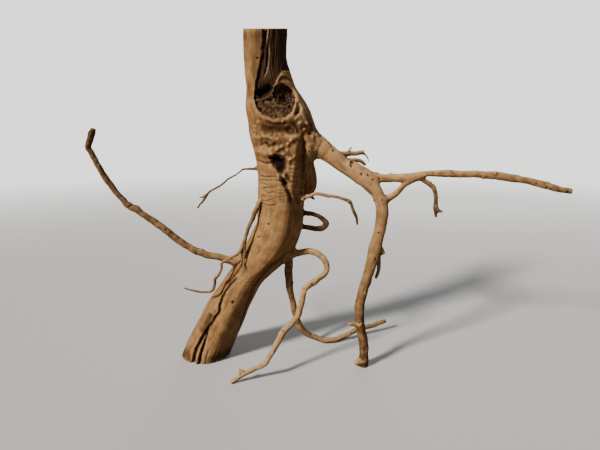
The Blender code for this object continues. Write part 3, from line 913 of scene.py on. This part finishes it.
HEART_RIDGES = [
    [(-0.075, 0.604), (-0.076, 0.590), (-0.079, 0.575), (-0.085, 0.559), (-0.089, 0.547)],
    [(-0.075, 0.562), (-0.075, 0.550), (-0.076, 0.537), (-0.079, 0.525), (-0.084, 0.513)],
]


def patchy(points, size, mark, where=None):
    """Smooth noise from -1 to 1 in patches of a size, or of three sizes, where it matters."""
    near = np.arange(len(points)) if where is None else np.flatnonzero(where > 0.01)
    values = np.zeros(len(points))
    values[near] = [noise.noise(p) for p in points[near] / np.array(size) + mark]
    return values


def band(height, middle, half):
    return np.exp(-(((height - middle) / half) ** 2))


def pocks(points, wood):
    """Small pits here and there on the limbs, where hair roots have dropped off."""
    return np.clip((patchy(points, 0.0060, 23.0) - 0.52) / 0.10, 0, 1) * (wood.owner > 2)


def fine_relief(points, wood, flat, front):
    """How deep the small marks are, along the skin's own direction."""
    depth = np.zeros(len(points))
    for line, width, deep in WRINKLES + HEART_CRACKS:
        depth += deep * stroke(flat, line, width) * front
    for line in HEART_RIDGES:
        depth -= 0.0010 * stroke(flat, line, 0.0009) * front
    for x, z, size in PITS:
        depth += 0.0030 * spot(flat, (x, z), size) * front
    rot = inside(flat, ROTTEN_KNOT, 0.002) * front
    rings = np.hypot(*(flat - KNOT_HEART).T)
    depth += rot * 0.0009 * np.sin(rings / 0.00055) * np.clip(1.5 - rings / 0.013, 0, 1)
    trunk = np.isin(wood.owner, (0, 1, 2, 3))
    burl = trunk * band(points[:, 2], 0.417, 0.024)
    burl = burl * np.interp(points[:, 0], (-0.105, -0.085), (0.3, 1.0))
    rough = np.maximum(rot, burl)
    lumps = patchy(points, 0.0075, 3.0, rough)
    crumbs = patchy(points, 0.0036, 11.0, rough)
    specks = patchy(points, 0.0019, 5.0, rough)
    depth += rot * (0.0020 * lumps + 0.0010 * crumbs + 0.0007 * specks)
    depth += burl * (0.0013 * lumps + 0.0004 * crumbs)
    stem = np.isin(wood.owner, (0, 1))
    waist = stem * (0.6 * band(points[:, 2], 0.325, 0.028) + 0.35 * band(points[:, 2], 0.165, 0.018))
    crease = 1 - np.abs(patchy(points, (0.030, 0.030, 0.0055), 2.0, waist)) / 0.28
    depth += waist * 0.0010 * np.clip(crease, 0, 1)
    furrow = patchy(wood.grain, (0.0048, 0.0048, 0.055), 0.0)
    furrow += 0.5 * patchy(wood.grain, (0.0022, 0.0022, 0.030), 4.0)
    stout = np.array([limb.radius.mean() for limb in limbs.values()])[wood.owner]
    depth += np.interp(stout, (0.002, 0.006, 0.04), (0.00012, 0.00028, 0.00036)) * furrow
    depth += 0.0008 * pocks(points, wood)
    pit = inside(flat, HOLLOW, 0.0030) * front
    depth += pit * 0.0026 * patchy(points, 0.0048, 29.0, pit)
    heart = inside(flat, HEARTWOOD, 0.001) * front
    depth += heart * 0.0012 * patchy(wood.grain, (0.0021, 0.0021, 0.035), 9.0, heart)
    return depth * np.clip(wood.border / 0.002, 0.2, 1)


def normals_of(mesh):
    normals = np.empty(len(mesh.vertices) * 3)
    mesh.vertex_normals.foreach_get("vector", normals)
    return normals.reshape(-1, 3)


points = from_points(skin_mesh)
wood = wood_at(points)
flat = drawn(points)
front = facing(points, wood)
depth = fine_relief(points, wood, flat, front)
depth[on_saw_face(points, wood.gap)] = 0
points = keep_flat(points - normals_of(skin_mesh) * depth[:, None])
skin_mesh.vertices.foreach_set("co", points.ravel())
block = bpy.data.objects.new("block", skin_mesh)
bpy.context.scene.collection.objects.link(block)
thin = block.modifiers.new("thin", "DECIMATE")
thin.ratio = min(1.0, 195000 / (2 * len(skin_mesh.polygons)))
final = plain_mesh(block)
final.name = "dry_root_wood"

# ---- Colour of the wood ------------------------------------------------------------------
# The bare wood has gone tan, and its ridges are paler from wear. Painted shade darkens its hollows,
# cracks, grooves, the skin under lips and the skin that faces down, and painted light makes its
# ridges, the limbs' upward-facing tops, the arching root's top and the twig's knob paler. The left
# root is still dark, the back loop and the arching root's foot are painted dark as shadow, the front
# root is the palest, and the heartwood is nearly black.
points = from_points(final)
wood = wood_at(points)
flat = drawn(points)
front = facing(points, wood)
edges = np.empty(len(final.edges) * 2, int)
final.edges.foreach_get("vertices", edges)
edges = edges.reshape(-1, 2)
joins = np.bincount(edges.ravel(), minlength=len(points))[:, None]


def blurred(values, rounds):
    """Each vertex's values evened out with its neighbours', a few times over."""
    for _ in range(rounds):
        total = np.zeros_like(values)
        for i in range(values.shape[1]):
            total[:, i] = (
                np.bincount(edges[:, 0], values[edges[:, 1], i], len(values))
                + np.bincount(edges[:, 1], values[edges[:, 0], i], len(values))
            )
        values = 0.3 * values + 0.7 * total / np.maximum(joins, 1)
    return values


normals = normals_of(final)
proud = ((points - blurred(points, 8)) * normals).sum(1)
proud = blurred(proud[:, None], 1)
proud = (proud - blurred(proud, 30))[:, 0]
all_limbs = list(limbs.values())
ends_old_and_shaded = np.array([limb.old_and_shaded for limb in all_limbs])[wood.owner]
ends_pale_and_lit = np.array([limb.pale_and_lit for limb in all_limbs])[wood.owner]
# Painted shade: cracks, holes, pits, the hollow under the knot and the eyes of the back's knots are
# painted nearly black inside.
crack_shading = np.zeros(len(points))
for line, width, deep in CRACKS + HEART_CRACKS:
    crack_shading += min(1, deep / 0.0045) * stroke(flat, line, 0.8 * width)
crack_shading += 1.3 * inside(flat, HOLLOW, 0.0045)
back_crack_shading = sum(stroke(flat, line, 0.8 * width) for line, width, deep in BACK_CRACKS)
back_crack_shading += sum(spot(flat, (x, z), 0.4 * size) for x, z, size in BACK_KNOTS)
for line, width in ((CAVITY, 0.0085), (KNOT_HOLE, 0.0045), (STUB_HOLE, 0.0034)):
    crack_shading += stroke(flat, line, width)
for x, z, size in PITS:
    crack_shading += spot(flat, (x, z), 0.9 * size)
UNDER_LIP = [(-0.090, 0.435), (-0.068, 0.431), (-0.046, 0.433), (-0.035, 0.439)]
mottle = 0.65 + 1.1 * patchy(points, 0.0060, 13.0) + 0.8 * patchy(points, 0.0028, 17.0)
# Painted shade: darker in the slab's recess, under the knot's lip, beside the split edge, along the
# grooves and the first crack, and in the folds.
shade = 0.85 * stroke(flat, SLAB_RECESS, 0.0080)
shade += 0.95 * stroke(flat, UNDER_LIP, 0.0062) + 0.5 * stroke(flat, STEM_SHADE, 0.0070)
shade += 0.6 * stroke(flat, MUSCLE[1][0], 0.0034) + 0.5 * stroke(flat, MUSCLE[2][0], 0.0060)
shade += 0.6 * stroke(flat, MUSCLE[6][0], 0.0036)
shade += 0.3 * stroke(flat, SPLIT_EDGE, 0.0060) + 0.35 * stroke(flat, CRACKS[0][0], 0.0045)
for line, width, deep in FOLDS:
    if deep > 0:
        shade += 0.65 * stroke(flat, line, 0.7 * width) * mottle
# Painted light: the limbs' upward-facing skin is painted paler, as if lit from above.
top_light = np.clip(1.4 * (normals[:, 2] - 0.08), 0, 1) * (wood.owner != 0)
ridges = sum(stroke(flat, line, 0.0007) for line in HEART_RIDGES)
ridges += 0.5 * sum(stroke(flat, line, width) for line, width, deep in SPLINTERS)
ridges += 0.6 * sum(stroke(flat, line, width) for line, width, deep in MUSCLE[3:5])
trunk = np.isin(wood.owner, (0, 1, 3))
burl = trunk * band(points[:, 2], 0.434, 0.016)
burl = burl * np.interp(points[:, 0], (-0.105, -0.085, -0.035, -0.02), (0.25, 1.0, 1.0, 0.5))
masks = {
    "recess_shade": np.clip(-proud / 0.0005, 0, 1),
    "wear_and_highlight": np.clip(proud / 0.0006, 0, 1),
    "old_and_shaded": np.clip(ends_old_and_shaded[:, 0] * (1 - wood.share) + ends_old_and_shaded[:, 1] * wood.share**2, 0, 1),
    "pale_and_lit": ends_pale_and_lit[:, 0] * (1 - wood.share) + ends_pale_and_lit[:, 1] * wood.share,
    "heart": inside(flat, HEARTWOOD, 0.0010) * facing(points, wood, 0.25),
    "rot": inside(flat, ROTTEN_KNOT, 0.0012) * front,
    "knot": np.clip((BOWL - np.hypot(*(flat - KNOT_HEART).T)) / 0.004, 0, 1) * front,
    "crack_shade": np.clip(crack_shading * front + back_crack_shading * behind(points, wood), 0, 1),
    "pock": pocks(points, wood),
    "ridge": np.clip(ridges * front, 0, 1),
    "shade": np.clip(shade * front, 0, 1),
    "burl": np.clip(burl, 0, 1),
    "top_light": top_light,
    "underside_shade": np.clip(-0.25 - normals[:, 2], 0, 1),
    "sawn": on_saw_face(points, wood.gap).astype(float),
    "clear": np.clip(wood.border / 0.004, 0, 1),
}
for name, values in masks.items():
    final.attributes.new(name, "FLOAT", "POINT").data.foreach_set("value", values)
final.attributes.new("grain", "FLOAT_VECTOR", "POINT").data.foreach_set(
    "vector", wood.grain.ravel())

# ---- Dry wood ----------------------------------------------------------------------------
# One material for the whole piece: fibres and darker streaks follow each limb, with the masks above
# for heartwood, rot, cracks, sawn faces and the old and pale roots. Several masks paint shade into
# cracks, hollows, grooves and undersides and paint light on ridges and tops.


def new_grain_group():
    """Wood grain along a limb: fibres, streaks, mottling and end-grain rings, each 0 to 1."""
    group = bpy.data.node_groups.new("wood_grain", "ShaderNodeTree")
    group.interface.new_socket("Grain", in_out="INPUT", socket_type="NodeSocketVector")
    group.interface.new_socket("Place", in_out="INPUT", socket_type="NodeSocketVector")
    for name in ("Fibres", "Streaks", "Mottling", "Rings"):
        group.interface.new_socket(name, in_out="OUTPUT", socket_type="NodeSocketFloat")
    taken = group.nodes.new("NodeGroupInput")
    given = group.nodes.new("NodeGroupOutput")
    for name, source, stretch, detail in (
        ("Fibres", "Grain", (1100, 1100, 45), 4),
        ("Streaks", "Grain", (210, 210, 14), 5),
        ("Mottling", "Place", (60, 60, 60), 5),
    ):
        mapping = group.nodes.new("ShaderNodeMapping")
        mapping.inputs["Scale"].default_value = stretch
        pattern = group.nodes.new("ShaderNodeTexNoise")
        pattern.inputs["Scale"].default_value = 1.0
        pattern.inputs["Detail"].default_value = detail
        pattern.inputs["Roughness"].default_value = 0.6
        group.links.new(taken.outputs[source], mapping.inputs["Vector"])
        group.links.new(mapping.outputs["Vector"], pattern.inputs["Vector"])
        group.links.new(pattern.outputs["Fac"], given.inputs[name])
    rings = group.nodes.new("ShaderNodeTexWave")
    rings.wave_type = "RINGS"
    rings.rings_direction = "Z"
    rings.inputs["Scale"].default_value = 110
    rings.inputs["Distortion"].default_value = 2.5
    rings.inputs["Detail"].default_value = 3.0
    rings.inputs["Detail Scale"].default_value = 0.6
    flat_grain = group.nodes.new("ShaderNodeMapping")
    flat_grain.inputs["Scale"].default_value = (1, 1, 0)
    group.links.new(taken.outputs["Grain"], flat_grain.inputs["Vector"])
    group.links.new(flat_grain.outputs["Vector"], rings.inputs["Vector"])
    group.links.new(rings.outputs["Fac"], given.inputs["Rings"])
    return group


dry_wood.use_nodes = True
wood_tree = dry_wood.node_tree
shader = wood_tree.nodes["Principled BSDF"]
shader.inputs["Metallic"].default_value = 0.0
shader.inputs["Specular IOR Level"].default_value = 0.12


def mask(name):
    node = wood_tree.nodes.new("ShaderNodeAttribute")
    node.attribute_name = name
    return node.outputs["Fac"]


def reach(value, low, high, out_low=0.0, out_high=1.0):
    """The value stretched from low..high to a new range, and kept in it."""
    node = wood_tree.nodes.new("ShaderNodeMapRange")
    wood_tree.links.new(value, node.inputs["Value"])
    node.inputs["From Min"].default_value = low
    node.inputs["From Max"].default_value = high
    node.inputs["To Min"].default_value = out_low
    node.inputs["To Max"].default_value = out_high
    return node.outputs["Result"]


def times(one, other):
    node = wood_tree.nodes.new("ShaderNodeMath")
    node.operation = "MULTIPLY"
    for socket, value in zip(node.inputs, (one, other)):
        if isinstance(value, float):
            socket.default_value = value
        else:
            wood_tree.links.new(value, socket)
    return node.outputs[0]


def stained(under, stain, share):
    """A colour with another laid over it by a mask."""
    node = wood_tree.nodes.new("ShaderNodeMix")
    node.data_type = "RGBA"
    wood_tree.links.new(share, node.inputs["Factor"])
    for socket, colour in ((node.inputs[6], under), (node.inputs[7], stain)):
        if isinstance(colour, tuple):
            socket.default_value = (*colour, 1.0)
        else:
            wood_tree.links.new(colour, socket)
    return node.outputs[2]


grain_attribute = wood_tree.nodes.new("ShaderNodeAttribute")
grain_attribute.attribute_name = "grain"
object_place = wood_tree.nodes.new("ShaderNodeTexCoord")
grain = wood_tree.nodes.new("ShaderNodeGroup")
grain.node_tree = new_grain_group()
wood_tree.links.new(grain_attribute.outputs["Vector"], grain.inputs["Grain"])
wood_tree.links.new(object_place.outputs["Object"], grain.inputs["Place"])
fibres, streaks, mottling, rings = grain.outputs

colour = stained((0.215, 0.100, 0.034), (0.355, 0.190, 0.072), reach(mottling, 0.36, 0.60))
colour = stained(colour, (0.135, 0.060, 0.020), times(reach(streaks, 0.52, 0.68), 0.65))
colour = stained(colour, (0.45, 0.258, 0.110), times(reach(fibres, 0.52, 0.70), 0.45))
# Pale wood on the front root and the right twig; on the arching root's top and the twig's knob this
# paleness is painted light.
colour = stained(colour, (0.52, 0.310, 0.135), times(mask("pale_and_lit"), 0.60))
# Painted light on upward-facing skin.
colour = stained(colour, (0.62, 0.395, 0.195), times(mask("top_light"), 0.70))
# Old dark wood on the left root, the rootlets and the twigs; on the back loop and the arching root's
# foot this darkening is painted shadow.
colour = stained(colour, (0.072, 0.034, 0.013), times(mask("old_and_shaded"), reach(mottling, 0.16, 0.44)))
colour = stained(colour, (0.060, 0.025, 0.009), times(mask("pock"), 0.60))
colour = stained(colour, (0.070, 0.033, 0.013), times(mask("burl"), reach(mottling, 0.40, 0.56)))
# Ridges and bumps are painted paler: partly wear, partly painted highlight.
colour = stained(colour, (0.50, 0.300, 0.138), times(mask("wear_and_highlight"), 0.65))
# Painted shade: skin that faces down is painted darker.
colour = stained(colour, (0.085, 0.036, 0.012), times(mask("underside_shade"), 0.80))
# Painted shade: the skin is painted darker wherever it curves inward.
colour = stained(colour, (0.045, 0.019, 0.007), times(mask("recess_shade"), 0.80))
colour = stained(colour, (0.060, 0.024, 0.007), mask("shade"))
sawn_colour = stained((0.23, 0.130, 0.060), (0.40, 0.255, 0.135), reach(rings, 0.2, 0.7))
colour = stained(colour, sawn_colour, mask("sawn"))
heart_colour = stained((0.018, 0.008, 0.004), (0.080, 0.040, 0.018), reach(fibres, 0.35, 0.68))
heart_colour = stained(heart_colour, (0.105, 0.055, 0.025), times(reach(streaks, 0.50, 0.64), 0.6))
colour = stained(colour, heart_colour, mask("heart"))
rot_colour = stained((0.050, 0.023, 0.010), (0.125, 0.066, 0.029), reach(mottling, 0.40, 0.62))
rot_colour = stained(rot_colour, (0.026, 0.010, 0.005), times(mask("knot"), 0.85))
# Painted highlight on the rot's crumbs, where the light catches them.
rot_colour = stained(rot_colour, (0.21, 0.122, 0.058), times(mask("wear_and_highlight"), 0.6))
# Painted shade, darker still, where the rot curves inward.
rot_colour = stained(rot_colour, (0.012, 0.005, 0.002), mask("recess_shade"))
colour = stained(colour, rot_colour, mask("rot"))
colour = stained(colour, (0.46, 0.30, 0.165), mask("ridge"))
# Painted shade inside cracks and holes.
colour = stained(colour, (0.010, 0.004, 0.002), mask("crack_shade"))
wood_tree.links.new(colour, shader.inputs["Base Color"])
wood_tree.links.new(reach(fibres, 0.3, 0.7, 0.90, 0.72), shader.inputs["Roughness"])

bump = wood_tree.nodes.new("ShaderNodeBump")
bump.inputs["Distance"].default_value = 0.0006
bump.inputs["Strength"].default_value = 0.5
wood_tree.links.new(times(fibres, mask("clear")), bump.inputs["Height"])
wood_tree.links.new(bump.outputs["Normal"], shader.inputs["Normal"])

final.materials.clear()
final.materials.append(dry_wood)
final.shade_smooth()
root = bpy.data.objects.new("dry_root_wood", final)
bpy.context.scene.collection.objects.link(root)
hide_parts("dry_root")
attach(root, "root")

# ---- Studio ------------------------------------------------------------------------------
# A plain pale floor that fades into the background, a soft key light high on the left in
# front, a weak fill and a weak light behind.
bm = bmesh.new()
bmesh.ops.create_circle(bm, cap_ends=True, segments=96, radius=9.0)
floor_mesh = bpy.data.meshes.new("floor")
bm.to_mesh(floor_mesh)
bm.free()
floor_finish = bpy.data.materials.new("floor")
floor_finish.use_nodes = True
floor_shader = floor_finish.node_tree.nodes["Principled BSDF"]
floor_shader.inputs["Roughness"].default_value = 0.9
floor_nodes = floor_finish.node_tree
looked_at = floor_nodes.nodes.new("ShaderNodeLightPath")
paleness = floor_nodes.nodes.new("ShaderNodeMapRange")
paleness.inputs["To Min"].default_value = 0.22
paleness.inputs["To Max"].default_value = 0.66
floor_nodes.links.new(looked_at.outputs["Is Camera Ray"], paleness.inputs["Value"])
floor_nodes.links.new(paleness.outputs["Result"], floor_shader.inputs["Base Color"])
floor_place = floor_nodes.nodes.new("ShaderNodeTexCoord")
distance = floor_nodes.nodes.new("ShaderNodeVectorMath")
distance.operation = "LENGTH"
fade = floor_nodes.nodes.new("ShaderNodeMapRange")
fade.interpolation_type = "SMOOTHSTEP"
fade.inputs["From Min"].default_value = 0.9
fade.inputs["From Max"].default_value = 5.0
fade.inputs["To Min"].default_value = 1.0
fade.inputs["To Max"].default_value = 0.0
floor_nodes.links.new(floor_place.outputs["Object"], distance.inputs[0])
floor_nodes.links.new(distance.outputs["Value"], fade.inputs["Value"])
floor_nodes.links.new(fade.outputs["Result"], floor_shader.inputs["Alpha"])
floor_mesh.materials.append(floor_finish)
floor = bpy.data.objects.new("floor", floor_mesh)
floor.location.z = -0.0004
bpy.context.scene.collection.objects.link(floor)


key = bpy.data.lights.new("key", "SUN")
key.energy = 5.2
key.angle = math.radians(9)
key.color = (1.0, 0.95, 0.88)
key_lamp = bpy.data.objects.new("key", key)
key_lamp.rotation_euler = Vector((0.80, 0.70, -0.62)).to_track_quat("-Z", "Y").to_euler()
bpy.context.scene.collection.objects.link(key_lamp)
fill = bpy.data.lights.new("fill", "AREA")
fill.size = 1.6
fill.energy = 2
fill_lamp = bpy.data.objects.new("fill", fill)
fill_lamp.location = (1.6, -1.8, 0.9)
fill_lamp.rotation_euler = Vector((-1.6, 1.8, -0.6)).to_track_quat("-Z", "Y").to_euler()
bpy.context.scene.collection.objects.link(fill_lamp)
back_light = bpy.data.lights.new("back", "AREA")
back_light.size = 1.6
back_light.energy = 16
back_lamp = bpy.data.objects.new("back", back_light)
back_lamp.location = (0.5, 2.2, 1.3)
back_lamp.rotation_euler = Vector((-0.5, -2.2, -1.0)).to_track_quat("-Z", "Y").to_euler()
bpy.context.scene.collection.objects.link(back_lamp)
world = bpy.data.worlds.new("studio")
world.use_nodes = True
sky = world.node_tree
seen = sky.nodes.new("ShaderNodeLightPath")
brightness = sky.nodes.new("ShaderNodeMapRange")
brightness.inputs["To Min"].default_value = 0.14
brightness.inputs["To Max"].default_value = 2.2
sky.links.new(seen.outputs["Is Camera Ray"], brightness.inputs["Value"])
sky.links.new(brightness.outputs["Result"], sky.nodes["Background"].inputs["Strength"])
sky.nodes["Background"].inputs["Color"].default_value = (0.80, 0.80, 0.79, 1.0)
bpy.context.scene.world = world
